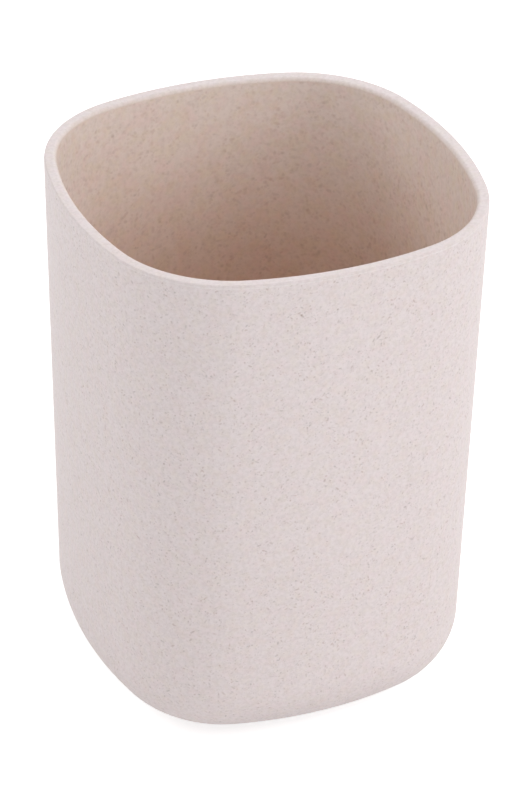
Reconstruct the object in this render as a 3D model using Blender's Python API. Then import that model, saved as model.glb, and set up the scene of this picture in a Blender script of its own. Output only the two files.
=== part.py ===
"""Bathroom tumbler: a thin moulded cup of soft square plan, standing on four soft pads.

Lengths are in metres and angles in radians, and +Z is up. The origin lies on the
surface that the tumbler stands on, under the middle of the cup. The cup's four
flats face +X, +Y, -X and -Y.
"""

import math

import bmesh
import bpy
import numpy as np

# Overall sizes of the cup
RIM_WIDTH = 0.0760            # outside, across the flats, at the rim
FOOT_WIDTH = 0.0724           # outside, across the flats, where the drafted walls meet the foot plane
CUP_HEIGHT = 0.1020           # from the foot plane to the rim

# Plan of the cup at the rim: four shallow arcs joined by four tighter ones
SIDE_BOW_RADIUS = 0.0750
CORNER_RADIUS = 0.0245

# Walls and their roundings
WALL = 0.0025                 # across the drafted wall
FLOOR = 0.0026                # from the foot plane to the floor inside
FOOT_EDGE_RADIUS = 0.0125     # outside, between the wall and the foot
FLOOR_EDGE_RADIUS = 0.0100    # inside, between the wall and the floor
RIM_OUTER_ROUND = 0.00025
RIM_INNER_ROUND = 0.00065
LIP_HEIGHT = 0.0005           # below the rim, the narrow step where the mould parts
LIP_INSET = 0.0001

# Underside
RECESS_DEPTH = 0.0008         # shallow round recess in the middle of the foot
POCKET_DEPTH = 0.0008         # round pocket for each pad
POCKET_MARGIN = 0.0020        # foot left between a pocket and the foot's edge, and the recess
CUT_OVERRUN = 0.0010          # how far a cutter stands out of the foot

# Pads
PAD_RADIUS = 0.0040
PAD_THICKNESS = 0.0010
PAD_EDGE_ROUND = 0.0003       # lower edge, where the pad meets the surface below
PAD_FILM = 0.0003             # adhesive film between a pad and the floor of its pocket
PAD_SIDE_CLEARANCE = 0.0003

# Steps of the curved parts
SIDE_STEPS = 10
CORNER_STEPS = 12
WALL_EDGE_STEPS = 10
ROUND_STEPS = 4
PAD_STEPS = 24
POCKET_STEPS = 32

SHARP_ANGLE = math.radians(30)

# Colours are linear; roughness and metallic are plain values
CUP_COLOUR = (0.65, 0.57, 0.55)
CUP_ROUGHNESS = 0.48
PAD_COLOUR = (0.60, 0.59, 0.57)
PAD_ROUGHNESS = 0.75

# Worked out from the sizes above
DRAFT_INSET = (RIM_WIDTH - FOOT_WIDTH) / 2
DRAFT_ANGLE = math.atan2(DRAFT_INSET, CUP_HEIGHT)
POCKET_RADIUS = PAD_RADIUS + PAD_SIDE_CLEARANCE
PAD_PROUD = PAD_THICKNESS + PAD_FILM - POCKET_DEPTH

PAD_CORNERS = {
    "non_slip_pad_front_left": (-1, -1),
    "non_slip_pad_front_right": (1, -1),
    "non_slip_pad_rear_left": (-1, 1),
    "non_slip_pad_rear_right": (1, 1),
}


def clear_scene():
    """Remove whatever objects the scene holds."""
    for item in list(bpy.data.objects):
        bpy.data.objects.remove(item, do_unlink=True)


def plain_material(name, colour, roughness):
    """One Principled material of a single colour."""
    material = bpy.data.materials.new(name)
    material.use_nodes = True
    shader = material.node_tree.nodes["Principled BSDF"]
    shader.inputs["Base Color"].default_value = (*colour, 1)
    shader.inputs["Roughness"].default_value = roughness
    shader.inputs["Metallic"].default_value = 0
    return material


def corner_centre():
    """Distance along X, and along Y, from the axis to the centre of a corner's arc.

    A side's arc is centred behind the axis, by the setback. A corner's arc touches it
    from inside, so the two centres lie the difference of the radii apart.
    """
    setback = SIDE_BOW_RADIUS - RIM_WIDTH / 2
    apart = SIDE_BOW_RADIUS - CORNER_RADIUS
    return (math.sqrt(2 * apart**2 - setback**2) - setback) / 2


def rim_outline():
    """Points of the soft square at the rim, anticlockwise, and the outward normals there.

    Every arc's point is its centre plus the radius times the unit vector of the angle,
    which is the normal too. One side and one corner are turned to the four quarters.
    """
    setback = SIDE_BOW_RADIUS - RIM_WIDTH / 2
    centre = corner_centre()
    half_side = math.atan2(centre, centre + setback)
    side_angles = np.linspace(-half_side, half_side, SIDE_STEPS, endpoint=False)
    corner_angles = np.linspace(half_side, math.pi / 2 - half_side, CORNER_STEPS, endpoint=False)
    angles = np.concatenate([side_angles, corner_angles])
    normals = np.stack([np.cos(angles), np.sin(angles)], axis=1)
    radii = np.repeat([SIDE_BOW_RADIUS, CORNER_RADIUS], [SIDE_STEPS, CORNER_STEPS])
    centres = np.repeat([(-setback, 0), (centre, centre)], [SIDE_STEPS, CORNER_STEPS], axis=0)
    points = centres + normals * radii[:, None]
    quarter_turns = [np.array([(c, s), (-s, c)]) for c, s in ((1, 0), (0, 1), (-1, 0), (0, -1))]
    outline = np.concatenate([points @ turn for turn in quarter_turns])
    outward = np.concatenate([normals @ turn for turn in quarter_turns])
    return outline, outward


def ring_at(flat_points, height):
    """Lift a closed row of plan points to a height."""
    return np.column_stack([flat_points, np.full(len(flat_points), height)])


def round_ring(directions, radius, height):
    """Circle through the given unit directions."""
    return ring_at(directions * radius, height)


def even_directions(count):
    """Unit vectors spaced evenly round the axis."""
    angles = np.linspace(0, 2 * math.pi, count, endpoint=False)
    return np.stack([np.cos(angles), np.sin(angles)], axis=1)


def wall_inset(height, across=0):
    """Inset of the drafted wall from the rim's outline, on the skin that lies across into it."""
    drafted = DRAFT_INSET * (1 - height / CUP_HEIGHT)
    return drafted + across / math.cos(DRAFT_ANGLE)


def lower_edge(plane, radius, across=0):
    """Quarter round from a flat plane up to the drafted wall: pairs of inset and height."""
    centre_height = plane + radius
    touch_height = centre_height - radius * math.sin(DRAFT_ANGLE)
    centre_inset = wall_inset(touch_height, across) + radius * math.cos(DRAFT_ANGLE)
    angles = np.linspace(math.pi / 2, DRAFT_ANGLE, WALL_EDGE_STEPS + 1)
    return [(centre_inset - radius * math.cos(a), centre_height - radius * math.sin(a)) for a in angles]


def rim_outer_edge():
    """The step at the foot of the lip, then the quarter round up to the flat of the rim."""
    step_height = CUP_HEIGHT - LIP_HEIGHT
    step_inset = wall_inset(step_height)
    step = [(step_inset, step_height), (step_inset + LIP_INSET, step_height)]
    centre_height = CUP_HEIGHT - RIM_OUTER_ROUND
    touch_height = centre_height - RIM_OUTER_ROUND * math.sin(DRAFT_ANGLE)
    centre_inset = wall_inset(touch_height) + LIP_INSET + RIM_OUTER_ROUND * math.cos(DRAFT_ANGLE)
    angles = np.linspace(-DRAFT_ANGLE, math.pi / 2, ROUND_STEPS + 1)
    return step + [
        (centre_inset - RIM_OUTER_ROUND * math.cos(a), centre_height + RIM_OUTER_ROUND * math.sin(a))
        for a in angles
    ]


def rim_inner_edge():
    """Quarter round from the flat of the rim down to the inner wall."""
    centre_height = CUP_HEIGHT - RIM_INNER_ROUND
    touch_height = centre_height + RIM_INNER_ROUND * math.sin(DRAFT_ANGLE)
    centre_inset = wall_inset(touch_height, WALL) - RIM_INNER_ROUND * math.cos(DRAFT_ANGLE)
    angles = np.linspace(math.pi / 2, DRAFT_ANGLE, ROUND_STEPS + 1)
    return [
        (centre_inset + RIM_INNER_ROUND * math.cos(a), centre_height + RIM_INNER_ROUND * math.sin(a))
        for a in angles
    ]


def loft(name, rings):
    """Mesh through rings of equal count, with its two end rings closed by flat faces.

    The rings run anticlockwise, from the middle of the underside out, up and over, so
    that every face points out of the material.
    """
    count = len(rings[0])
    near = np.arange(count)
    far = np.roll(near, -1)
    faces = [tuple(near[::-1])]
    for level in range(len(rings) - 1):
        low = level * count
        high = low + count
        quads = np.stack([low + near, low + far, high + far, high + near], axis=1)
        faces.extend(tuple(quad) for quad in quads)
    faces.append(tuple((len(rings) - 1) * count + near))
    mesh = bpy.data.meshes.new(name)
    mesh.from_pydata([tuple(point) for point in np.concatenate(rings)], [], faces)
    mesh.shade_smooth()
    mesh.set_sharp_from_angle(angle=SHARP_ANGLE)
    return mesh


def pad_reach():
    """Distance along the diagonal from the axis to a pad's middle.

    The pocket keeps its margin to the foot's edge, which is the corner's arc drawn in.
    """
    foot_inset = lower_edge(0, FOOT_EDGE_RADIUS)[0][0]
    foot_corner = corner_centre() * math.sqrt(2) + CORNER_RADIUS - foot_inset
    return foot_corner - POCKET_MARGIN - POCKET_RADIUS


def pad_middles():
    """Plan position of each pad's middle, by the pad's name."""
    along_axis = pad_reach() / math.sqrt(2)
    return {name: (x * along_axis, y * along_axis) for name, (x, y) in PAD_CORNERS.items()}


def cup_mesh():
    """The cup as one shell: recess, foot, outer wall, rim, inner wall and floor in turn.

    The recess has a side that slopes in as far as it is deep.
    """
    outline, outward = rim_outline()
    directions = outline / np.linalg.norm(outline, axis=1)[:, None]
    recess_radius = pad_reach() - POCKET_RADIUS - POCKET_MARGIN
    profile = (
        lower_edge(0, FOOT_EDGE_RADIUS)
        + rim_outer_edge()
        + rim_inner_edge()
        + lower_edge(FLOOR, FLOOR_EDGE_RADIUS, WALL)[::-1]
    )
    rings = [
        round_ring(directions, recess_radius - RECESS_DEPTH, RECESS_DEPTH),
        round_ring(directions, recess_radius, 0),
    ]
    rings += [ring_at(outline - outward * inset, height) for inset, height in profile]
    return loft("tumbler_body", rings)


def pocket_cutter(cup):
    """Four short discs that cut the pads' pockets into the foot."""
    cutter_mesh = bpy.data.meshes.new("pad_pocket_cutter")
    shape = bmesh.new()
    depth = POCKET_DEPTH + CUT_OVERRUN
    for x, y in pad_middles().values():
        disc = bmesh.ops.create_cone(
            shape,
            cap_ends=True,
            segments=POCKET_STEPS,
            radius1=POCKET_RADIUS,
            radius2=POCKET_RADIUS,
            depth=depth,
        )
        bmesh.ops.translate(shape, verts=disc["verts"], vec=(x, y, POCKET_DEPTH - depth / 2))
    shape.to_mesh(cutter_mesh)
    shape.free()
    cutter = bpy.data.objects.new("pad_pocket_cutter", cutter_mesh)
    bpy.context.collection.objects.link(cutter)
    cutter.parent = cup
    cutter.hide_render = True
    cutter.display_type = "WIRE"
    return cutter


def make_cup(carrier):
    """The moulded cup, standing clear of the surface by what the pads stand out."""
    cup = bpy.data.objects.new("tumbler_body", cup_mesh())
    bpy.context.collection.objects.link(cup)
    cup.parent = carrier
    cup.location = (0, 0, PAD_PROUD)
    cup.data.materials.append(plain_material("cup_plastic", CUP_COLOUR, CUP_ROUGHNESS))
    pockets = cup.modifiers.new("pad pockets", "BOOLEAN")
    pockets.operation = "DIFFERENCE"
    pockets.solver = "EXACT"
    pockets.object = pocket_cutter(cup)
    return cup


def pad_mesh():
    """One pad: a flat disc whose lower edge is rounded."""
    directions = even_directions(PAD_STEPS)
    angles = np.linspace(math.pi / 2, 0, ROUND_STEPS + 1)
    centre_radius = PAD_RADIUS - PAD_EDGE_ROUND
    rings = [
        round_ring(
            directions,
            centre_radius + PAD_EDGE_ROUND * math.cos(a),
            PAD_EDGE_ROUND - PAD_EDGE_ROUND * math.sin(a),
        )
        for a in angles
    ]
    rings.append(round_ring(directions, PAD_RADIUS, PAD_THICKNESS))
    return loft("non_slip_pad", rings)


def make_pads(carrier):
    """Four pads on one shared mesh, each under its pocket and standing on the surface."""
    mesh = pad_mesh()
    mesh.materials.append(plain_material("pad_rubber", PAD_COLOUR, PAD_ROUGHNESS))
    for name, (x, y) in pad_middles().items():
        pad = bpy.data.objects.new(name, mesh)
        bpy.context.collection.objects.link(pad)
        pad.parent = carrier
        pad.location = (x, y, 0)


def main():
    clear_scene()
    carrier = bpy.data.objects.new("tumbler", None)
    bpy.context.collection.objects.link(carrier)
    make_cup(carrier)
    make_pads(carrier)


main()
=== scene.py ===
# %% [markdown]
# A speckled bathroom tumbler.
# The object is one thin moulding of soft square plan, in a pale plastic full of fine plant fibres, and it
# stands on four small soft pads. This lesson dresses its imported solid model: it makes each surface again,
# much finer, as a numpy grid, gives it a procedural finish, and sets a camera and soft lamps in front of
# it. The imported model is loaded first, because the heights and the places of the pads are taken from it.

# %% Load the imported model
import math
import bpy
import numpy as np
from mathutils import Matrix, Vector


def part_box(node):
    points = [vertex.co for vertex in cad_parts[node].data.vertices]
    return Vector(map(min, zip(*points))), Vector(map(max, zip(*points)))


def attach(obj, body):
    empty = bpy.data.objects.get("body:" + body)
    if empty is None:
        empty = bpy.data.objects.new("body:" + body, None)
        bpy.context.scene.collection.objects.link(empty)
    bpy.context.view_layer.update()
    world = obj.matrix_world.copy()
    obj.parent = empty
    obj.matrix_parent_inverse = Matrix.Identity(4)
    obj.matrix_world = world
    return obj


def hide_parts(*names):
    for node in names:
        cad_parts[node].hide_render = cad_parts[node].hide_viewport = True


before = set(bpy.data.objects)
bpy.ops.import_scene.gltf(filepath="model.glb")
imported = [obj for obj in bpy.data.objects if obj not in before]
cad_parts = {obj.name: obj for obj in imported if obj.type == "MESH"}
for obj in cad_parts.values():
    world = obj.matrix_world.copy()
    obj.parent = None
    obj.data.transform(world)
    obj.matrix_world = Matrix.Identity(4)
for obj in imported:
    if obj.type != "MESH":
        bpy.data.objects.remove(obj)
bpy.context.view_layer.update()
print("nodes:", sorted(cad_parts))

# %% [markdown]
# Sizes.
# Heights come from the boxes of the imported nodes, in metres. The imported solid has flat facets, which fall a
# hair short of the true curve, so the width is named here once, as a designer would list it, and so is what
# a box can't tell, such as the thickness of the wall and the radii of the roundings.

# %% Sizes of the cup, read from the frame
MM = 0.001
cup_low, cup_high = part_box("tumbler_body")
foot_plane = cup_low.z
rim_plane = cup_high.z
cup_height = rim_plane - foot_plane
print("cup height", round(cup_height / MM, 2), "mm, foot plane", round(foot_plane / MM, 2), "mm")

# %% Sizes that the boxes can't tell
RIM_HALF_WIDTH = 38.0 * MM
FOOT_HALF_WIDTH = 36.2 * MM
SIDE_BOW_RADIUS = 75.0 * MM
CORNER_RADIUS = 24.5 * MM
WALL = 2.42 * MM
FLOOR = 2.6 * MM
FOOT_EDGE_RADIUS = 12.5 * MM
FLOOR_EDGE_RADIUS = 10.0 * MM
RIM_OUTER_ROUND = 0.25 * MM
RIM_INNER_ROUND = 0.75 * MM
LIP_HEIGHT = 0.43 * MM
LIP_INSET = 0.1 * MM
draft_inset = RIM_HALF_WIDTH - FOOT_HALF_WIDTH
draft_angle = math.atan2(draft_inset, cup_height)
print("draft", round(math.degrees(draft_angle), 2), "degrees")

# %% [markdown]
# The plan.
# Seen from above the cup is a soft square: four shallow arcs joined by four tighter ones. A circle would be
# too round and a bevelled square too hard. Arcs that share a tangent where they meet give the real outline,
# and any narrower section is the same outline drawn in along its own normals. Two such arcs have their
# centres as far apart as their radii differ, and a corner's centre lies on the diagonal, so Pythagoras
# gives its place.

# %% The soft square
setback = SIDE_BOW_RADIUS - RIM_HALF_WIDTH
arcs_apart = SIDE_BOW_RADIUS - CORNER_RADIUS
corner_centre = (math.sqrt(2 * arcs_apart**2 - setback**2) - setback) / 2
half_side = math.atan2(corner_centre, corner_centre + setback)


def soft_square(turns):
    """Points of the rim's outline and the outward normals there, for turns from 0 to 1.

    A quarter is one side's arc, then one corner's arc, walked at an even pace. A point is its arc's
    centre plus the arc's radius times the unit vector of the angle walked, and that vector is the
    normal. The four quarters are the first one turned by right angles.
    """
    side_length = 2 * half_side * SIDE_BOW_RADIUS
    corner_length = (math.pi / 2 - 2 * half_side) * CORNER_RADIUS
    quarter = np.floor(turns * 4)
    walked = (turns * 4 - quarter) * (side_length + corner_length)
    on_side = walked < side_length
    angle = np.where(
        on_side,
        walked / SIDE_BOW_RADIUS - half_side,
        (walked - side_length) / CORNER_RADIUS + half_side,
    )
    radius = np.where(on_side, SIDE_BOW_RADIUS, CORNER_RADIUS)
    centre_x = np.where(on_side, -setback, corner_centre)
    centre_y = np.where(on_side, 0, corner_centre)
    x = centre_x + radius * np.cos(angle)
    y = centre_y + radius * np.sin(angle)
    turn = quarter * math.pi / 2
    turned_x = x * np.cos(turn) - y * np.sin(turn)
    turned_y = x * np.sin(turn) + y * np.cos(turn)
    points = np.stack([turned_x, turned_y], axis=-1)
    normals = np.stack([np.cos(angle + turn), np.sin(angle + turn)], axis=-1)
    return points, normals


COLUMNS = 384
outline, outward = soft_square(np.arange(COLUMNS) / COLUMNS)
across_corners = 2 * np.linalg.norm(outline, axis=1).max()
print("across flats", round(np.ptp(outline[:, 0]) / MM, 2), "mm")
print("across corners", round(across_corners / MM, 2), "mm")

# %% [markdown]
# The wall's profile.
# The cup could be a solid with its inside cut away, but a thin shell is easier to read as one line: start
# in the middle of the underside, go out across the foot, up the drafted wall, over the rim and down the
# inside to the middle of the floor. Each point of that line is an inset from the outline and a height above
# the foot.

# %% Pieces of the profile
def arc(centre, radius, start, end, steps):
    """Points of an arc: centre plus radius times cosine and sine of the angle, from start to end."""
    angles = np.linspace(start, end, steps + 1)
    return np.stack([centre[0] + radius * np.cos(angles), centre[1] + radius * np.sin(angles)], axis=-1)


def wall_inset(height, across=0.0):
    """Inset of the drafted wall at a height, on the skin that lies across into the wall.

    It is the draft's whole inset times the share of the height that is still above, plus the way
    across over the cosine of the draft's angle.
    """
    return draft_inset * (1 - height / cup_height) + across / math.cos(draft_angle)


def lower_edge(plane, radius, across, steps):
    """Rounding from a flat plane up to the drafted wall, tangent to both.

    The centre of its arc lies a radius above the plane and a radius from the wall. The arc starts
    straight below the centre and ends where it runs along the wall.
    """
    centre_height = plane + radius
    touch = centre_height - radius * math.sin(draft_angle)
    centre = (wall_inset(touch, across) + radius * math.cos(draft_angle), centre_height)
    return arc(centre, radius, -math.pi / 2, -math.pi + draft_angle, steps)


print("foot's flat begins", round(lower_edge(0, FOOT_EDGE_RADIUS, 0, 1)[0][0] / MM, 2), "mm in")

# %% [markdown]
# The rim.
# The top is a narrow flat between two roundings. About half a millimetre below it the mould parts, and the
# ring that shapes the lip is a hair smaller than the rest, so the wall draws in over a tiny soft shoulder.
# The light draws it as a thin pale line, and the finish adds a painted highlight along it. It is part of the
# profile, so it is in the mesh and not only in the shading.

# %% The rim's profile
SHOULDER_HEIGHT = 0.3 * MM
SHOULDER_STEPS = 12
OUTER_ROUND_STEPS = 10
INNER_ROUND_STEPS = 12
RIM_BAND = LIP_HEIGHT + SHOULDER_HEIGHT / 2


def rim_profile():
    """Shoulder under the lip, the lip's side and outer rounding, the flat and the inner rounding.

    Over the shoulder's height the wall moves in by half a wave of a cosine, as much as the lip's
    inset. Each rounding is an arc whose centre lies its radius inside both faces that it joins.
    """
    share = np.linspace(0, 1, SHOULDER_STEPS + 1)
    heights = cup_height - LIP_HEIGHT - SHOULDER_HEIGHT * (1 - share)
    wave = (1 - np.cos(math.pi * share)) / 2
    shoulder = np.stack([wall_inset(heights) + LIP_INSET * wave, heights], axis=-1)
    outer_centre_height = cup_height - RIM_OUTER_ROUND
    outer_centre = (wall_inset(outer_centre_height) + LIP_INSET + RIM_OUTER_ROUND, outer_centre_height)
    outer = arc(outer_centre, RIM_OUTER_ROUND, math.pi, math.pi / 2, OUTER_ROUND_STEPS)
    inner_centre_height = cup_height - RIM_INNER_ROUND
    inner_centre = (wall_inset(inner_centre_height, WALL) - RIM_INNER_ROUND, inner_centre_height)
    inner = arc(inner_centre, RIM_INNER_ROUND, math.pi / 2, 0, INNER_ROUND_STEPS)
    return np.concatenate([shoulder, outer, inner])


print("rim profile", rim_profile().shape)

# %% [markdown]
# The underside.
# It is hidden in the picture. Such cups have a shallow round recess, so that they can't rock on a bulge,
# and in its middle the mark where the plastic was injected. Here the section changes from circles to the
# soft square, so each ring of the grid also has a roundness: 1 is a circle, and 0 the outline drawn in.

# %% The underside's profile
pads = ["non_slip_pad_" + place for place in ("front_left", "front_right", "rear_left", "rear_right")]
pad_low, pad_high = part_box(pads[-1])
pad_middle = (pad_low + pad_high) / 2
pad_radius = (pad_high.x - pad_low.x) / 2
POCKET_CLEARANCE = 0.3 * MM
POCKET_DEPTH = 0.8 * MM
pocket_radius = pad_radius + POCKET_CLEARANCE
RECESS_MARGIN = 2.0 * MM
RECESS_DEPTH = 0.8 * MM
GATE_RADIUS = 2.2 * MM
GATE_TOP_RADIUS = 1.21 * MM
GATE_FIRST_RADIUS = 0.22 * MM
GATE_HEIGHT = 0.35 * MM
SIDE_STEPS = 12
GATE_TOP_RINGS = 4
FLAT_RINGS = 6
FLAT_MARGIN_SHARE = 1.2
recess_radius = math.hypot(pad_middle.x, pad_middle.y) - pocket_radius - RECESS_MARGIN


def underside_profile():
    """Radius, height and roundness of the rings from the gate mark to the recess's edge.

    The gate mark's side and the recess's side are half waves of a cosine, so both are soft.
    """
    share = np.linspace(0, 1, SIDE_STEPS + 1)
    wave = (1 - np.cos(math.pi * share)) / 2
    top = np.linspace(GATE_FIRST_RADIUS, GATE_RADIUS / 2, GATE_TOP_RINGS)
    top_rows = np.stack([top, np.full(GATE_TOP_RINGS, RECESS_DEPTH - GATE_HEIGHT)], axis=-1)
    gate = GATE_TOP_RADIUS + (GATE_RADIUS - GATE_TOP_RADIUS) * share
    gate_rows = np.stack([gate, RECESS_DEPTH - GATE_HEIGHT * (1 - wave)], axis=-1)
    flat_end = recess_radius - RECESS_DEPTH * FLAT_MARGIN_SHARE
    flat = np.linspace(GATE_RADIUS * FLAT_MARGIN_SHARE, flat_end, FLAT_RINGS)
    flat_rows = np.stack([flat, np.full(FLAT_RINGS, RECESS_DEPTH)], axis=-1)
    side = recess_radius - RECESS_DEPTH * (1 - share)
    side_rows = np.stack([side, RECESS_DEPTH * (1 - wave)], axis=-1)
    rows = np.concatenate([top_rows, gate_rows, flat_rows, side_rows])
    return np.column_stack([rows, np.ones(len(rows))])


print("recess radius", round(recess_radius / MM, 2), "mm")

# %% [markdown]
# Marks for the finish.
# The finish changes over the cup: the rim hardly shows a fibre, the inside is browner with painted bounce
# light, and along the line where the mould parts a painted highlight is mixed in. Such places could be
# painted by hand, but then they would not move with the sizes. So each ring carries its marks as numbers,
# and the material reads them.

# %% The marks of the rings
PARTING_HIGHLIGHT_NARROWNESS = 4


def ring_marks(rings, rim_end):
    """Five marks for rings of radius, height and roundness; the rim's last ring is the one before rim_end.

    A mark is 1 on the part that it names and 0 elsewhere. The rim and the inside are plain. The
    painted warm bounce light of the inside comes in evenly over the inner rounding's rings. The painted
    highlight along the parting is e to minus the square of the height off the line, in shares of the
    shoulder's height times the narrowness.
    The last marks the rings that the mould's core shapes, and it is 1 less the roundness there.
    """
    order = np.arange(len(rings))
    rounding_start = rim_end - 1 - INNER_ROUND_STEPS
    depth = cup_height - rings[:, 1]
    on_rim = depth < RIM_BAND
    inside = order >= rim_end - 1
    # Painted warm bounce light of the inside, coming in over the inner rounding.
    bounce_warmth = np.clip((order - rounding_start) / INNER_ROUND_STEPS, 0, 1)
    # Painted highlight along the shoulder under the lip.
    off_line = PARTING_HIGHLIGHT_NARROWNESS * (depth - RIM_BAND) / SHOULDER_HEIGHT
    parting_highlight = np.exp(-(off_line**2)) * (order < rounding_start)
    by_core = (order >= rounding_start) * (1 - rings[:, 2])
    return np.column_stack([on_rim, inside, bounce_warmth, parting_highlight, by_core])


print("rim band", round(RIM_BAND / MM, 2), "mm deep")

# %% [markdown]
# The whole line.
# The pieces are joined in order. Between the recess and the foot's edge the roundness falls from 1 to 0,
# and the height stays at zero, so that band is flat.

# %% The whole profile
BAND_RINGS = 6
FOOT_EDGE_STEPS = 40
WALL_RINGS = 38
FLOOR_EDGE_STEPS = 30
FLOOR_RINGS = 10


def shares_between(rings):
    """Shares that split a stretch evenly by a number of rings, without its two ends."""
    return np.linspace(0, 1, rings + 2)[1:-1]


def cup_profile():
    """Radius, height, roundness and five marks of every ring, from the gate mark to the floor's middle.

    The walls are first rows of inset and height, and a radius is half the rim's width less the
    inset. The floor's rings shrink to the middle while their roundness rises from 0 to 1.
    """
    underside = underside_profile()
    foot_edge = lower_edge(0, FOOT_EDGE_RADIUS, 0, FOOT_EDGE_STEPS)
    foot_radius = RIM_HALF_WIDTH - foot_edge[0][0]
    share = shares_between(BAND_RINGS)
    band_radius = recess_radius + (foot_radius - recess_radius) * share
    band = np.stack([band_radius, np.zeros(BAND_RINGS), 1 - share], axis=-1)
    rim = rim_profile()
    floor_edge = lower_edge(FLOOR, FLOOR_EDGE_RADIUS, WALL, FLOOR_EDGE_STEPS)[::-1]
    share = shares_between(WALL_RINGS)
    heights = foot_edge[-1][1] + (rim[0][1] - foot_edge[-1][1]) * share
    outer_wall = np.stack([wall_inset(heights), heights], axis=-1)
    heights = rim[-1][1] + (floor_edge[0][1] - rim[-1][1]) * share
    inner_wall = np.stack([wall_inset(heights, WALL), heights], axis=-1)
    walls = np.concatenate([foot_edge, outer_wall, rim, inner_wall, floor_edge])
    walls[:, 0] = RIM_HALF_WIDTH - walls[:, 0]
    walls = np.column_stack([walls, np.zeros(len(walls))])
    share = shares_between(FLOOR_RINGS)
    floor_rows = np.stack([walls[-1][0] * (1 - share), np.full(FLOOR_RINGS, FLOOR), share], axis=-1)
    rings = np.concatenate([underside, band, walls, floor_rows])
    rim_end = len(underside) + len(band) + len(foot_edge) + len(outer_wall) + len(rim)
    return np.column_stack([rings, ring_marks(rings, rim_end)])


profile = cup_profile()
print("profile rings", len(profile))

# %% [markdown]
# A core that isn't quite true.
# The wall of a real cup is never the same all round. The steel core that shapes its inside leans a little
# to one side and is a little out of square, and the rim shows it: here it is thickest at the right rear
# corner and thinnest at the right front one. The inner skin follows the core, and the outer skin stays as
# it is.

# %% The core's drift
CORE_LEAN = 0.14 * MM
CORE_LEAN_TURN = math.radians(57)
CORE_SKEW = 0.22 * MM


def core_drift():
    """Inset that the core's drift adds to the inner skin in each column.

    It is the lean times the cosine of the turn from the lean's direction, and the skew times the
    sine of twice the turn, where the turn is that of the outline's normal.
    """
    turn = np.arctan2(outward[:, 1], outward[:, 0])
    return CORE_LEAN * np.cos(turn - CORE_LEAN_TURN) + CORE_SKEW * np.sin(2 * turn)


drift = core_drift()
print("wall from", round((WALL + drift.min()) / MM, 2), "to", round((WALL + drift.max()) / MM, 2), "mm")

# %% [markdown]
# Carry the profile round the plan.
# Ring by ring and column by column this is one grid of points, worked out as a whole array. The grid closes
# on itself round the cup, and a fan of triangles closes it in the middle of the underside and of the floor.

# %% Grid of points
FIRST_MARK = 3


def carried_round(rows):
    """Grid of points for rows of radius, height, roundness and marks.

    A ring is the outline moved along its normals by the inset, mixed with a circle of the same
    radius by the roundness. A ring that the core shapes has the core's drift in its inset.
    """
    radius, height, roundness = rows[:, :FIRST_MARK].T
    by_core = rows[:, -1]
    inset = (RIM_HALF_WIDTH - radius)[:, None] + by_core[:, None] * drift[None]
    drawn_in = outline[None] - outward[None] * inset[..., None]
    direction = outline / np.linalg.norm(outline, axis=1)[:, None]
    circle = direction[None] * radius[:, None, None]
    mix = roundness[:, None, None]
    flat = drawn_in * (1 - mix) + circle * mix
    lifted = np.broadcast_to((foot_plane + height)[:, None, None], flat.shape[:2] + (1,))
    return np.concatenate([flat, lifted], axis=-1)


cup_grid = carried_round(profile)
print("rings, columns and coordinates", cup_grid.shape)

# %% Grid to mesh
def closed_shell(name, grid):
    """Mesh of a grid of rings that closes round, with a fan at the first and at the last ring.

    A face joins two neighbours of one ring with the same two of the next ring, and the neighbour of
    the last column is the first one. A fan's middle is the mean of its ring.
    """
    rows, columns = grid.shape[:2]
    index = np.arange(rows * columns).reshape(rows, columns)
    after = np.roll(index, -1, axis=1)
    quads = np.stack([index[:-1], after[:-1], after[1:], index[1:]], axis=-1).reshape(-1, 4)
    first, last = rows * columns, rows * columns + 1
    start_fan = np.stack([np.full(columns, first), after[0], index[0]], axis=-1)
    end_fan = np.stack([np.full(columns, last), index[-1], after[-1]], axis=-1)
    poles = [grid[0].mean(axis=0), grid[-1].mean(axis=0)]
    points = np.concatenate([grid.reshape(-1, 3), poles])
    faces = quads.tolist() + start_fan.tolist() + end_fan.tolist()
    mesh = bpy.data.meshes.new(name)
    mesh.from_pydata(points.tolist(), [], faces)
    return mesh


cup_mesh = closed_shell("speckled_cup", cup_grid)
print("cup faces", len(cup_mesh.polygons))

# %% Mesh to piece, with its marks
SHARP_ANGLE = math.radians(40)
FINISH_MARKS = ("rim", "inside", "bounce_warmth", "parting_highlight")


def new_piece(name, mesh):
    """Object at the origin with its place in its mesh, smooth except at hard edges."""
    mesh.shade_smooth()
    mesh.set_sharp_from_angle(angle=SHARP_ANGLE)
    piece = bpy.data.objects.new(name, mesh)
    bpy.context.scene.collection.objects.link(piece)
    return piece


def mark(mesh, name, rows, columns):
    """Point attribute: each ring's mark for all its points, and the end rings' marks for the poles."""
    values = np.concatenate([np.repeat(rows, columns), [rows[0], rows[-1]]]).astype(np.float32)
    attribute = mesh.attributes.new(name, "FLOAT", "POINT")
    attribute.data.foreach_set("value", values)


cup = new_piece("speckled_cup", cup_mesh)
for column, name in enumerate(FINISH_MARKS, start=FIRST_MARK):
    mark(cup.data, name, profile[:, column], COLUMNS)
print("marks on the cup", FINISH_MARKS)

# %% [markdown]
# Pockets for the pads.
# A round pocket doesn't follow the grid, so it is cut. An exact Boolean with a short disc per pad leaves
# clean edges in the flat of the foot. A disc is two rings carried round a vertical line, as the pads will
# be. The result is kept as the cup's mesh, and the discs are removed.

# %% Carry a profile round a vertical line
TURNED_COLUMNS = 96
CUT_OVERRUN = 1.0 * MM


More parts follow.
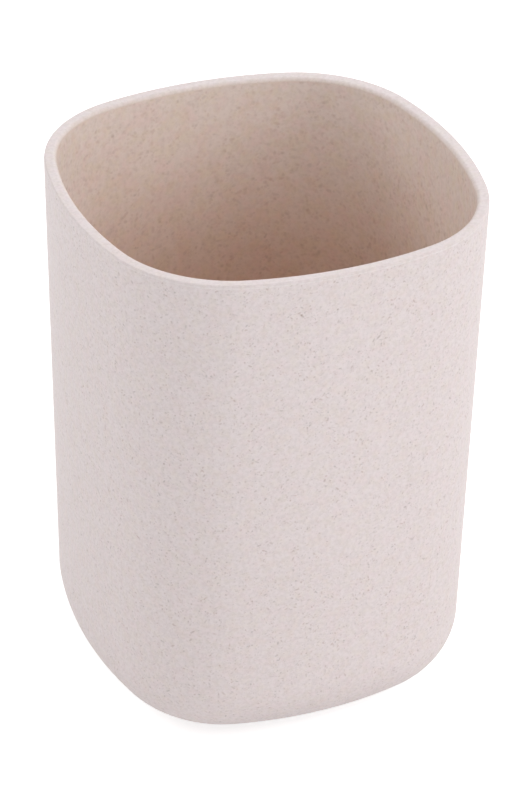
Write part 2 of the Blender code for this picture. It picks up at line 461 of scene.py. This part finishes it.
def turned(middle, rows):
    """Grid of rows of radius and height carried round a vertical line through the middle.

    A point is the middle plus the radius times the cosine and sine of its angle, at its height.
    """
    angles = np.linspace(0, 2 * math.pi, TURNED_COLUMNS, endpoint=False)
    x = middle.x + rows[:, 0, None] * np.cos(angles)[None]
    y = middle.y + rows[:, 0, None] * np.sin(angles)[None]
    z = np.broadcast_to(rows[:, 1, None], x.shape)
    return np.stack([x, y, z], axis=-1)


pocket_rows = np.array([
    (pocket_radius, foot_plane - CUT_OVERRUN),
    (pocket_radius, foot_plane + POCKET_DEPTH),
])
print("pocket radius", round(pocket_radius / MM, 2), "mm")

# %% Cut the pockets
def cut_pockets(piece):
    """Cut one pocket over each pad, and keep the cut mesh."""
    cutters = []
    for pad in pads:
        low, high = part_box(pad)
        disc = closed_shell("pocket", turned((low + high) / 2, pocket_rows))
        cutter = bpy.data.objects.new("pocket", disc)
        bpy.context.scene.collection.objects.link(cutter)
        cut = piece.modifiers.new("pocket", "BOOLEAN")
        cut.operation = "DIFFERENCE"
        cut.solver = "EXACT"
        cut.object = cutter
        cutters.append(cutter)
    evaluated = piece.evaluated_get(bpy.context.evaluated_depsgraph_get())
    cut_mesh = bpy.data.meshes.new_from_object(evaluated)
    piece.modifiers.clear()
    piece.data = cut_mesh
    for cutter in cutters:
        bpy.data.objects.remove(cutter, do_unlink=True)


cut_pockets(cup)
print("cup faces after the cuts", len(cup.data.polygons))

# %% [markdown]
# The pads.
# Each is a thin disc of soft rubber with a rounded lower edge and a slight dish in its underside, which
# grips a wet counter. One turned profile is carried round each pad's own middle.

# %% The pads' profile
PAD_EDGE_ROUND = 0.3 * MM
PAD_TOP_ROUND = 0.1 * MM
PAD_DISH = 0.06 * MM
PAD_EDGE_STEPS = 8
PAD_TOP_STEPS = 4
PAD_DISH_RINGS = 14
PAD_TOP_RINGS = 6
PAD_FIRST_SHARE = 0.05
PAD_FACE_SHARE = 0.9


def pad_profile(thickness):
    """Radius and height of the rings: dished underside, rounded lower edge, side and top.

    The dish's height is its depth times one minus the square of the share of its radius.
    """
    flat_radius = pad_radius - PAD_EDGE_ROUND
    face_radius = flat_radius * PAD_FACE_SHARE
    share = np.linspace(PAD_FIRST_SHARE, 1, PAD_DISH_RINGS)
    dish = np.stack([face_radius * share, PAD_DISH * (1 - share**2)], axis=-1)
    edge = arc((flat_radius, PAD_EDGE_ROUND), PAD_EDGE_ROUND, -math.pi / 2, 0, PAD_EDGE_STEPS)
    top_centre = (pad_radius - PAD_TOP_ROUND, thickness - PAD_TOP_ROUND)
    top_edge = arc(top_centre, PAD_TOP_ROUND, 0, math.pi / 2, PAD_TOP_STEPS)
    top_radius = np.linspace(face_radius, flat_radius * PAD_FIRST_SHARE, PAD_TOP_RINGS)
    top = np.stack([top_radius, np.full(PAD_TOP_RINGS, thickness)], axis=-1)
    return np.concatenate([dish, edge, top_edge, top])


print("pad radius", round(pad_radius / MM, 2), "mm")

# %% Turn the pads
pad_pieces = {}
for pad in pads:
    low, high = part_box(pad)
    grid = turned((low + high) / 2, pad_profile(high.z - low.z))
    pad_pieces[pad] = new_piece("soft_" + pad, closed_shell("soft_" + pad, grid))
print("pads", len(pad_pieces), "faces each", len(pad_pieces[pads[0]].data.polygons))

# %% [markdown]
# A short way to write materials.
# Each finish is a small tree of nodes. One helper adds a node, sets its values and links what it is given,
# so a finish reads as a list of steps. Five more stand for one kind of node each: maths, a vector's maths,
# a soft step, a mix of colours and a noise.

# %% Colours, nodes and materials
def colour(red, green, blue):
    """Linear colour of a screen colour given in 0 to 255, channel by channel.

    It is the standard curve: a straight line near black, and a power of 2.4 above it.
    """
    shares = np.array([red, green, blue]) / 255
    linear = np.where(shares <= 0.04045, shares / 12.92, ((shares + 0.055) / 1.055) ** 2.4)
    return (*linear.tolist(), 1.0)


def add(tree, kind, inputs=None, **settings):
    """New node with its settings; an input that is a socket is linked, and any other is a value."""
    node = tree.nodes.new(kind)
    for name, value in settings.items():
        setattr(node, name, value)
    for key, value in (inputs or {}).items():
        if isinstance(value, bpy.types.NodeSocket):
            tree.links.new(value, node.inputs[key])
        else:
            node.inputs[key].default_value = value
    return node


def new_material(name):
    """Material with its Principled shader and the object's own coordinates."""
    material = bpy.data.materials.new(name)
    material.use_nodes = True
    tree = material.node_tree
    place = add(tree, "ShaderNodeTexCoord").outputs["Object"]
    return material, tree, tree.nodes["Principled BSDF"], place


print("a screen grey of 128 is", round(colour(128, 128, 128)[0], 3), "in linear light")

# %% Helpers for one kind of node each
def maths(tree, operation, *values):
    """Result of one Math node."""
    node = add(tree, "ShaderNodeMath", dict(enumerate(values)), operation=operation)
    return node.outputs[0]


def vector(tree, operation, *values):
    """Result of one Vector Math node that gives a vector."""
    node = add(tree, "ShaderNodeVectorMath", dict(enumerate(values)), operation=operation)
    return node.outputs["Vector"]


def ramp(tree, value, low, high, start=0.0, end=1.0):
    """Smooth step from start to end, while a value goes from low to high."""
    limits = {"Value": value, "From Min": low, "From Max": high, "To Min": start, "To Max": end}
    return add(tree, "ShaderNodeMapRange", limits, interpolation_type="SMOOTHSTEP").outputs[0]


def mixed(tree, share, first, second, blend="MIX"):
    """Mix of two colours by a share: the Mix node's sockets 0, 6 and 7, and its output 2."""
    node = add(tree, "ShaderNodeMix", data_type="RGBA", blend_type=blend)
    for socket, value in ((node.inputs[0], share), (node.inputs[6], first), (node.inputs[7], second)):
        if isinstance(value, bpy.types.NodeSocket):
            tree.links.new(value, socket)
        else:
            socket.default_value = value
    return node.outputs[2]


def noise(tree, place, per_metre, detail=2.0, roughness=0.5):
    """Noise with a number of cells for each metre.

    Detail adds finer layers, and roughness is the weight that each has next to the coarser one.
    """
    settings = {"Vector": place, "Scale": per_metre, "Detail": detail, "Roughness": roughness}
    return add(tree, "ShaderNodeTexNoise", settings).outputs["Fac"]


print("node helpers ready")

# %% [markdown]
# The speckled plastic.
# Chopped plant fibre shows in the moulding as countless faint dots and short flecks. Painted flecks would
# need a picture. Cells of a Voronoi texture make them by rule: a cell holds one fibre at its own place, or
# none, and the cell's own random colour decides that, and the fibre's size, its direction and its tint. The
# surface cuts through these fibres as it does in the real plastic, so some show long and some as dots.

# %% Fibres by cells
SPIN = (37.3, 53.9, 71.7)
HALF = (0.5, 0.5, 0.5)
HEART_SHARE = 0.2


def fibres(tree, place, cell, thin, thick, stretch, share, swell):
    """Mask of short fibres, and the random number of their cells.

    From a cell's middle the way to the shaded point is split into a part along the fibre's own
    direction and a part across it. The first is divided by the stretch, so a sphere becomes a
    grain that is longer by that much, and the mask falls softly from its heart to its radius. The
    radius goes with the cell's random number, from thin to thick, times the swell. Only the given
    share of the cells holds a fibre.
    """
    cells = add(tree, "ShaderNodeTexVoronoi", {"Vector": place, "Scale": 1 / cell}, feature="F1")
    chance = add(tree, "ShaderNodeSeparateColor", {0: cells.outputs["Color"]}).outputs
    spun = vector(tree, "MULTIPLY", cells.outputs["Color"], SPIN)
    spun = vector(tree, "SUBTRACT", vector(tree, "FRACTION", spun), HALF)
    axis = vector(tree, "NORMALIZE", spun)
    away = vector(tree, "SUBTRACT", place, cells.outputs["Position"])
    along = add(tree, "ShaderNodeVectorMath", {0: away, 1: axis}, operation="DOT_PRODUCT").outputs["Value"]
    length = add(tree, "ShaderNodeVectorMath", {0: away}, operation="LENGTH").outputs["Value"]
    saved = maths(tree, "MULTIPLY", maths(tree, "MULTIPLY", along, along), 1 - 1 / stretch**2)
    reach = maths(tree, "SQRT", maths(tree, "SUBTRACT", maths(tree, "MULTIPLY", length, length), saved))
    radius = maths(tree, "MULTIPLY", ramp(tree, chance[0], 0.0, 1.0, thin, thick), swell)
    grain = ramp(tree, reach, radius, maths(tree, "MULTIPLY", radius, HEART_SHARE))
    present = maths(tree, "LESS_THAN", chance[1], share)
    return maths(tree, "MULTIPLY", grain, present), chance[2]


print("fibre helper ready")

# %% [markdown]
# The cup's colour.
# The resin is a rosy beige. Inside the cup its tone is warmer: that is painted bounce light, which comes
# in over the rim's inner rounding and grows redder towards the floor. Faint clouds of rose and straw run
# through the resin, and then come the fibres in three sizes, browner on the inside. The rim was closed off
# by the mould, so hardly any fibre shows there, and along the line where the mould parts a painted
# highlight makes a pale band.

# %% The resin's own colour, and painted bounce light inside
# The two inner tones are painted bounce light, warmer than the outer tone and redder towards the floor.
OUTER_BASE = (230, 219, 219)
INNER_PAINTED_BOUNCE = (233, 220, 213)
DEEP_PAINTED_BOUNCE = (242, 215, 199)
DEEP_PAINTED_BOUNCE_SHARE = 0.3


def marked(tree, name):
    """Value of one of the cup's marks."""
    return add(tree, "ShaderNodeAttribute", attribute_name=name).outputs["Fac"]


def resin_and_painted_bounce(tree, place):
    """Outer tone mixed by the bounce warmth mark with the inside's painted bounce light, redder low down and
    paler towards the rim.
    """
    height = add(tree, "ShaderNodeSeparateXYZ", {0: place}).outputs["Z"]
    rise = ramp(tree, height, DEEP_PAINTED_BOUNCE_SHARE * cup_height, rim_plane)
    inner = mixed(tree, rise, colour(*DEEP_PAINTED_BOUNCE), colour(*INNER_PAINTED_BOUNCE))
    return mixed(tree, marked(tree, "bounce_warmth"), colour(*OUTER_BASE), inner)


print("resin outside", OUTER_BASE, "and inside", INNER_PAINTED_BOUNCE)

# %% Clouds and dust in the resin
ROSE_TINT = (1.012, 0.95, 0.962, 1)
STRAW_TINT = (0.98, 0.98, 0.90, 1)
OUTER_DUST = (0.91, 0.904, 0.898, 1)
INNER_DUST = (0.925, 0.92, 0.915, 1)
OUTER_CLOUDING = 0.42
INNER_CLOUDING = 0.80
ROSE_PER_METRE = 450.0
STRAW_PER_METRE = 520.0
DUST_PER_METRE = 1500.0
CLOUD_NOISE = dict(detail=3.0, roughness=0.65)
DUST_NOISE = dict(detail=2.0, roughness=0.55)
CLOUD_RANGE = (0.42, 0.66)
DUST_RANGE = (0.30, 0.75)
STRAW_SHIFT = (0.3, 0.1, 0.2)


def clouded(tree, place, inside, surface):
    """Surface times a rose cloud, a straw cloud and a fine dust, and the dust's noise for the relief."""
    clouding = ramp(tree, inside, 0.0, 1.0, OUTER_CLOUDING, INNER_CLOUDING)
    rose = ramp(tree, noise(tree, place, ROSE_PER_METRE, **CLOUD_NOISE), *CLOUD_RANGE)
    shifted = vector(tree, "ADD", place, STRAW_SHIFT)
    straw = ramp(tree, noise(tree, shifted, STRAW_PER_METRE, **CLOUD_NOISE), *CLOUD_RANGE)
    surface = mixed(tree, maths(tree, "MULTIPLY", rose, clouding), surface, ROSE_TINT, "MULTIPLY")
    surface = mixed(tree, maths(tree, "MULTIPLY", straw, clouding), surface, STRAW_TINT, "MULTIPLY")
    dust = noise(tree, place, DUST_PER_METRE, **DUST_NOISE)
    dust_tint = mixed(tree, inside, OUTER_DUST, INNER_DUST)
    return mixed(tree, ramp(tree, dust, *DUST_RANGE), surface, dust_tint, "MULTIPLY"), dust


print("clouds", round(1 / ROSE_PER_METRE / MM, 1), "mm wide, dust", round(1 / DUST_PER_METRE / MM, 2), "mm")

# %% The three sizes of fibre
FIBRE_SIZES = {
    "fine": dict(cell=0.52 * MM, thin=0.11 * MM, thick=0.20 * MM, stretch=1.8, share=0.85),
    "middle": dict(cell=0.80 * MM, thin=0.14 * MM, thick=0.26 * MM, stretch=3.2, share=0.60),
    "large": dict(cell=2.4 * MM, thin=0.20 * MM, thick=0.32 * MM, stretch=3.0, share=0.5),
}
FIBRE_TINTS = {
    "fine": ((172, 162, 162), (182, 154, 144), 0.33),
    "middle": ((146, 138, 136), (168, 130, 118), 0.42),
    "large": ((112, 104, 100), (140, 100, 86), 0.37),
}
INNER_SHOWN = 0.49
RIM_SHOWN = 0.25
SWARM_PER_METRE = 330.0
SWARM_RANGE = (0.35, 0.65)
SWARM_LOW = 0.45
INNER_SWELL = 1.5
INNER_FIBRE = (1.06, 0.88, 0.72, 1)


def flecked(tree, place, inside, surface):
    """Surface with the fibres mixed in, size by size, and their masks by name.

    A fibre shows by its mask times its size's strength, times a slow noise that gathers the fibres
    in loose swarms, and less on the rim and inside. Its tint lies between a grey and a brown by
    its cell's random number.
    """
    swarm = ramp(tree, noise(tree, place, SWARM_PER_METRE), *SWARM_RANGE, SWARM_LOW, 1.0)
    shown = maths(tree, "MULTIPLY", swarm, ramp(tree, marked(tree, "rim"), 0.0, 1.0, 1.0, RIM_SHOWN))
    shown = maths(tree, "MULTIPLY", shown, ramp(tree, inside, 0.0, 1.0, 1.0, INNER_SHOWN))
    swell = ramp(tree, inside, 0.0, 1.0, 1.0, INNER_SWELL)
    masks = {}
    for size, (grey, brown, strength) in FIBRE_TINTS.items():
        masks[size], chance = fibres(tree, place, swell=swell, **FIBRE_SIZES[size])
        tint = mixed(tree, chance, colour(*grey), colour(*brown))
        tint = mixed(tree, inside, tint, INNER_FIBRE, "MULTIPLY")
        amount = maths(tree, "MULTIPLY", maths(tree, "MULTIPLY", masks[size], shown), strength)
        surface = mixed(tree, amount, surface, tint)
    return surface, masks


print("fibre sizes", sorted(FIBRE_SIZES))

# %% The cup's finish
# Strength of the painted highlight along the parting line.
PARTING_PAINTED_HIGHLIGHT = 0.12
INNER_GRAIN = 0.68
WHITE = (1, 1, 1, 1)
MATT_PER_METRE = 1400.0
MOST_OF_NOISE = (0.2, 0.8)
CUP_ROUGHNESS = (0.50, 0.60)
CUP_REFRACTION = 1.5
CUP_GLOSS = 0.4
RELIEF_SHARE = 0.5
RELIEF_STRENGTH = 0.15
RELIEF_DISTANCE = 0.05 * MM


def speckled_plastic():
    """Satin moulded plastic: resin with painted bounce light inside, clouds, dust, three sizes of fibre and a
    painted highlight on the parting line, in that order.

    The pattern is drawn larger inside, because the place that it reads there is made smaller. The
    dust and the middle fibres also stand out as a faint relief.
    """
    material, tree, shader, place = new_material("speckled_plastic")
    inside = marked(tree, "inside")
    surface = resin_and_painted_bounce(tree, place)
    place = vector(tree, "MULTIPLY", place, ramp(tree, inside, 0.0, 1.0, 1.0, INNER_GRAIN))
    surface, dust = clouded(tree, place, inside, surface)
    surface, masks = flecked(tree, place, inside, surface)
    # Painted highlight: white mixed in along the shoulder under the lip.
    surface = mixed(tree, maths(tree, "MULTIPLY", marked(tree, "parting_highlight"), PARTING_PAINTED_HIGHLIGHT), surface, WHITE)
    tree.links.new(surface, shader.inputs["Base Color"])

    matt = noise(tree, place, MATT_PER_METRE)
    tree.links.new(ramp(tree, matt, *MOST_OF_NOISE, *CUP_ROUGHNESS), shader.inputs["Roughness"])
    dust_relief = maths(tree, "MULTIPLY", dust, RELIEF_SHARE)
    fibre_relief = maths(tree, "MULTIPLY", masks["middle"], RELIEF_SHARE)
    relief = maths(tree, "ADD", dust_relief, fibre_relief)
    bumped = {"Height": relief, "Strength": RELIEF_STRENGTH, "Distance": RELIEF_DISTANCE}
    tree.links.new(add(tree, "ShaderNodeBump", bumped).outputs[0], shader.inputs["Normal"])
    shader.inputs["IOR"].default_value = CUP_REFRACTION
    shader.inputs["Specular IOR Level"].default_value = CUP_GLOSS
    return material


cup.data.materials.clear()
cup.data.materials.append(speckled_plastic())
print("cup finished")

# %% [markdown]
# The pads' rubber.
# It is a matt, warm grey, a little dusty and uneven, with a fine grain that the light only just finds.

# %% The pads' finish
RUBBER_DARK = (196, 192, 188)
RUBBER_PALE = (210, 207, 203)
RUBBER_ROUGHNESS = (0.68, 0.84)
SMEARS_PER_METRE = 500.0
SMEAR_NOISE = dict(detail=4.0, roughness=0.6)
SMEAR_RANGE = (0.35, 0.7)
GRAIN_PER_METRE = 4000.0
GRAIN_STRENGTH = 0.3


def soft_rubber():
    """Matt rubber with a fine grain and faint smears of dust."""
    material, tree, shader, place = new_material("soft_rubber")
    smears = ramp(tree, noise(tree, place, SMEARS_PER_METRE, **SMEAR_NOISE), *SMEAR_RANGE)
    surface = mixed(tree, smears, colour(*RUBBER_DARK), colour(*RUBBER_PALE))
    tree.links.new(surface, shader.inputs["Base Color"])
    grain = noise(tree, place, GRAIN_PER_METRE)
    tree.links.new(ramp(tree, grain, *MOST_OF_NOISE, *RUBBER_ROUGHNESS), shader.inputs["Roughness"])
    bumped = {"Height": grain, "Strength": GRAIN_STRENGTH, "Distance": RELIEF_DISTANCE}
    tree.links.new(add(tree, "ShaderNodeBump", bumped).outputs[0], shader.inputs["Normal"])
    return material


rubber = soft_rubber()
for piece in pad_pieces.values():
    piece.data.materials.append(rubber)
print("pads finished")

# %% [markdown]
# The floor and the white round it.
# The tumbler stands in a white studio. The floor is a large pale plane that keeps a soft shadow, and its
# own glow lifts it to white away from the cup. Only the rays that see it get the glow: the camera's, and
# those in a gloss or through a clear thing. The world is white to the same rays, and a softer white to all
# that it lights.

# %% Floor
FLOOR_SIZE = 8.0
FLOOR_GREY = (0.78, 0.78, 0.78, 1)
FLOOR_ROUGHNESS = 0.9
FLOOR_GLOW = 0.62


def seen_rays(tree):
    """1 for rays from the camera, in a gloss or through a clear thing, and 0 for rays that only light."""
    rays = add(tree, "ShaderNodeLightPath").outputs
    seen = maths(tree, "MAXIMUM", rays["Is Camera Ray"], rays["Is Glossy Ray"])
    return maths(tree, "MAXIMUM", seen, rays["Is Transmission Ray"])


def studio_floor():
    """Large pale plane at the height that the pads stand on."""
    half = FLOOR_SIZE / 2
    mesh = bpy.data.meshes.new("studio_floor")
    corners = [(-half, -half, 0), (half, -half, 0), (half, half, 0), (-half, half, 0)]
    mesh.from_pydata(corners, [], [(0, 1, 2, 3)])
    floor = bpy.data.objects.new("studio_floor", mesh)
    bpy.context.scene.collection.objects.link(floor)
    material, tree, shader, _ = new_material("pale_floor")
    shader.inputs["Base Color"].default_value = FLOOR_GREY
    shader.inputs["Roughness"].default_value = FLOOR_ROUGHNESS
    shader.inputs["Emission Color"].default_value = WHITE
    tree.links.new(maths(tree, "MULTIPLY", seen_rays(tree), FLOOR_GLOW), shader.inputs["Emission Strength"])
    mesh.materials.append(material)
    return floor


floor = studio_floor()
print("floor", FLOOR_SIZE, "m wide")

# %% World
WORLD_STRENGTH = 0.40


def white_world():
    """White to the camera, softer to the light that falls on the object."""
    world = bpy.data.worlds.new("white_studio")
    world.use_nodes = True
    tree = world.node_tree
    background = tree.nodes["Background"]
    background.inputs["Color"].default_value = WHITE
    strength = ramp(tree, seen_rays(tree), 0.0, 1.0, WORLD_STRENGTH, 1.0)
    tree.links.new(strength, background.inputs["Strength"])
    bpy.context.scene.world = world


white_world()
print("world strength", WORLD_STRENGTH)

# %% [markdown]
# The camera.
# It looks down at the cup from the front left with a long lens, and it is turned a little about its own
# axis. Its place follows from where it aims, how far off it stands and two angles.

# %% The camera's axes
VIEW_TURN = math.radians(-22.65)
VIEW_RISE = math.radians(32.58)
VIEW_ROLL = math.radians(1.19)


def direction_to(turn, rise):
    """Unit vector towards a turn from the front, positive to the right, and a rise above level."""
    level = Vector((math.sin(turn), -math.cos(turn), 0)) * math.cos(rise)
    return level + Vector((0, 0, math.sin(rise)))


def view_axes():
    """Right, up and back vectors of the camera: turned, raised, then rolled about the line of sight."""
    back = direction_to(VIEW_TURN, VIEW_RISE)
    level = Vector((math.cos(VIEW_TURN), math.sin(VIEW_TURN), 0))
    upright = back.cross(level)
    right = level * math.cos(VIEW_ROLL) + upright * math.sin(VIEW_ROLL)
    up = upright * math.cos(VIEW_ROLL) - level * math.sin(VIEW_ROLL)
    return right, up, back


print("the camera looks along", tuple(round(-value, 3) for value in view_axes()[2]))

# %% Place the camera
VIEW_DISTANCE = 639.7 * MM
LENS = 154.8
SENSOR = 36.0
NEAREST_SEEN = 10.0 * MM
AIM_RIGHT = -0.45 * MM
AIM_UP = 2.96 * MM


def place_camera():
    """Camera at its distance back from the aim point, which lies off the cup's middle by the two aims."""
    right, up, back = view_axes()
    aim = Vector((0, 0, (foot_plane + rim_plane) / 2)) + right * AIM_RIGHT + up * AIM_UP
    camera = bpy.data.objects.new("camera", bpy.data.cameras.new("camera"))
    bpy.context.scene.collection.objects.link(camera)
    rotation = Matrix((right, up, back)).transposed().to_4x4()
    camera.matrix_world = Matrix.Translation(aim + back * VIEW_DISTANCE) @ rotation
    camera.data.sensor_width = SENSOR
    camera.data.lens = LENS
    camera.data.clip_start = NEAREST_SEEN
    bpy.context.scene.camera = camera
    return camera


camera = place_camera()
print("camera at", tuple(round(value, 3) for value in camera.location))

# %% [markdown]
# The lamps.
# The white world does about half of the work. A low wide lamp at the front lights the wall that faces the
# camera and the back of the inside. The strongest one, on the right, makes the right of the cup lighter
# than its left, and two from behind light the left of the inside and keep both edges from going dull.

# %% Lamps
LAMP_DISTANCE = 2.2
LAMP_SIZE = 1.5
LAMPS = {
    "front_softbox": (-20, 10, 15.5),
    "right_softbox": (60, 35, 20.6),
    "rear_right_softbox": (140, 35, 12.5),
    "rear_left_softbox": (-130, 35, 16.3),
}


def soft_lamp(name, turn, rise, power):
    """Square lamp that looks at the cup's middle from two angles in degrees, with its power in watts."""
    target = Vector((0, 0, (foot_plane + rim_plane) / 2))
    away = direction_to(math.radians(turn), math.radians(rise))
    light = bpy.data.lights.new(name, "AREA")
    light.shape = "SQUARE"
    light.size = LAMP_SIZE
    light.energy = power
    lamp = bpy.data.objects.new(name, light)
    bpy.context.scene.collection.objects.link(lamp)
    facing = away.to_track_quat("Z", "Y").to_matrix().to_4x4()
    lamp.matrix_world = Matrix.Translation(target + away * LAMP_DISTANCE) @ facing


for name, (turn, rise, power) in LAMPS.items():
    soft_lamp(name, turn, rise, power)
bpy.context.scene.view_settings.view_transform = "Standard"
print("lamps", sorted(LAMPS))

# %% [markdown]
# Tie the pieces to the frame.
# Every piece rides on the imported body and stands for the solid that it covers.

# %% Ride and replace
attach(cup, "root")
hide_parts("tumbler_body")
for node, piece in pad_pieces.items():
    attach(piece, "root")
    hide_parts(node)
